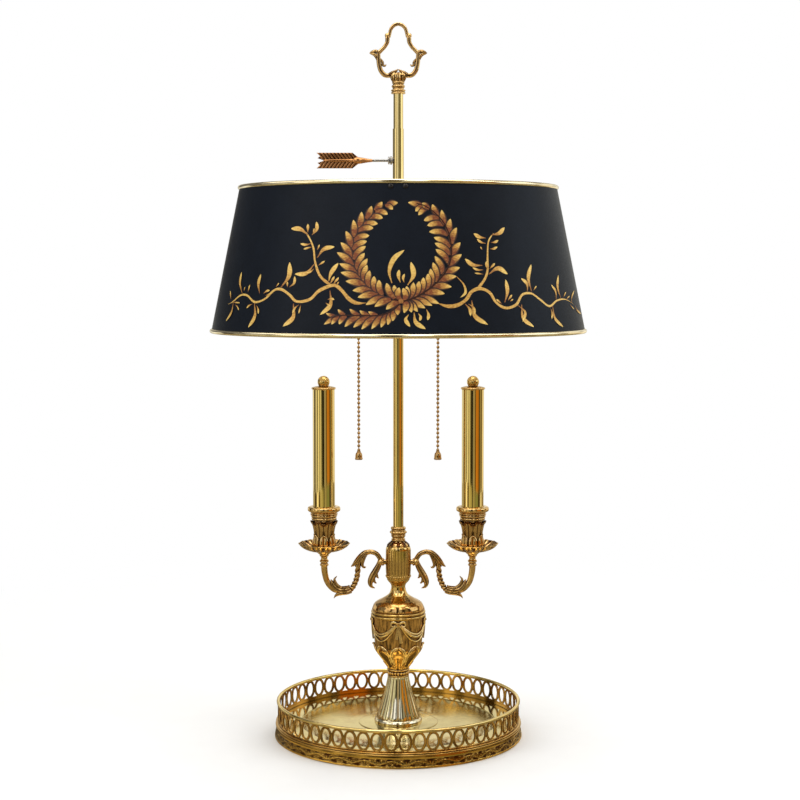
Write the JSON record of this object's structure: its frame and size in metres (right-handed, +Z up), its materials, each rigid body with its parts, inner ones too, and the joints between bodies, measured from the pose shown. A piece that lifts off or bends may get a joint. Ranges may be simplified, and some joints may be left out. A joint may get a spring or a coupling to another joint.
{
  "type": "bouillotte lamp",
  "caption": "Brass table lamp with a galleried tray base, urn stem, dummy candle arms, pull-chain sockets and an oval black metal shade on a sliding sleeve with an arrow key.",
  "frame": {"origin": "centre of the underside of the base, on the surface that the lamp stands on", "axes": "+Z up along the column, -Y towards the front of the shade, +X to the right seen from the front"},
  "size_m": [0.374, 0.3074, 0.7106],
  "materials": {
    "felt": "thin dark green felt",
    "cast_iron": "rough cast iron",
    "engraved_brass": "brass engraved with a running leaf pattern, dark in the recesses",
    "polished_brass": "mirror polished brass",
    "gallery_brass": "polished cast brass with darker inner edges",
    "cast_brass": "antiqued cast brass, brown in the recesses",
    "tube_brass": "polished brass tube",
    "candle_brass": "mirror polished brass tube",
    "chain_brass": "brass bead chain",
    "key_brass": "dark antiqued brass",
    "rim_brass": "satin brass",
    "key_steel": "darkened steel",
    "spider_steel": "black painted steel",
    "dark_screw": "blackened steel screw",
    "steel": "zinc plated steel",
    "lamp_cap_metal": "bare aluminium lamp cap",
    "bulb_glass": "frosted glass",
    "insulator": "dark phenolic insulation",
    "lead_jacket": "flexible gold coloured jacket",
    "black_enamel": "satin black enamel with painted gold wreath and vines outside"
  },
  "bodies": {
    "lamp": {"felt_pad": "felt", "base_weight": "cast_iron", "foot_band": "engraved_brass", "tray_plate": "polished_brass", "band_moulding": "polished_brass", "gallery": "gallery_brass", "gallery_rail": "gallery_brass", "cord_bushing": "insulator", "base_washer": "steel", "base_nut": "steel", "threaded_pipe": "steel", "supply_lead": "lead_jacket", "pedestal_skirt": "polished_brass", "pedestal": "polished_brass", "pedestal_collar": "cast_brass", "urn_body": "cast_brass", "urn_ring": "polished_brass", "urn_cover": "polished_brass", "hub_base": "polished_brass", "arm_hub": "polished_brass", "hub_cap": "cast_brass", "column_collar": "cast_brass", "column_tube": "tube_brass", "cluster_body": "cast_brass", "cluster_cap": "cast_brass", "socket_nipples": "steel", "socket_caps": "tube_brass", "socket_shells": "tube_brass", "socket_cores": "insulator", "bulb_caps": "lamp_cap_metal", "bulbs": "bulb_glass", "arm_left": "cast_brass", "arm_right": "cast_brass", "pan_collars": "cast_brass", "drip_pans": "cast_brass", "candle_cups": "cast_brass", "candle_tubes": "candle_brass", "candle_caps": "cast_brass", "candle_balls": "cast_brass", "candle_rods": "steel", "guide_rod": "tube_brass", "finial_collar": "cast_brass", "finial_loop": "cast_brass"},
    "sleeve": {"shade_sleeve": "tube_brass", "sleeve_nut": "tube_brass", "key_boss": "key_steel"},
    "shade": {"shade": "black_enamel", "shade_rim_top": "rim_brass", "shade_rim_bottom": "rim_brass", "spider": "spider_steel", "shade_screws": "dark_screw"},
    "arrow_key": {"arrow_key": "key_brass"},
    "pull_left": {"chain_stub_left": "chain_brass"},
    "pull_right": {"chain_stub_right": "chain_brass"},
    "chain_left": {"chain_left": "chain_brass", "bell_left": "chain_brass"},
    "chain_right": {"chain_right": "chain_brass", "bell_right": "chain_brass"}
  },
  "joints": [
    {"name": "sleeve_slide", "type": "slide", "parent": "lamp", "child": "sleeve", "axis": [0, 0, 1], "range_m": [-0.025, 0.033]},
    {"name": "shade_turn", "type": "hinge", "parent": "sleeve", "child": "shade", "pos_m": [0, 0, 0.5408], "axis": [0, 0, 1], "range_deg": [-20, 20]},
    {"name": "key_turn", "type": "hinge", "parent": "sleeve", "child": "arrow_key", "pos_m": [0, 0, 0.5755], "axis": [-1, 0, 0], "range_deg": [0, 360]},
    {"name": "pull_left", "type": "slide", "parent": "lamp", "child": "pull_left", "axis": [0, 0, -1], "range_m": [0, 0.008], "stiffness_N_per_m": 900, "springref_m": -0.001},
    {"name": "chain_left_swing", "type": "hinge", "parent": "pull_left", "child": "chain_left", "pos_m": [-0.0395, 0, 0.4444], "axis": [1, 0, 0], "range_deg": [-30, 30]},
    {"name": "pull_right", "type": "slide", "parent": "lamp", "child": "pull_right", "axis": [0, 0, -1], "range_m": [0, 0.008], "stiffness_N_per_m": 900, "springref_m": -0.001},
    {"name": "chain_right_swing", "type": "hinge", "parent": "pull_right", "child": "chain_right", "pos_m": [0.0395, 0, 0.4444], "axis": [1, 0, 0], "range_deg": [-30, 30]}
  ]
}
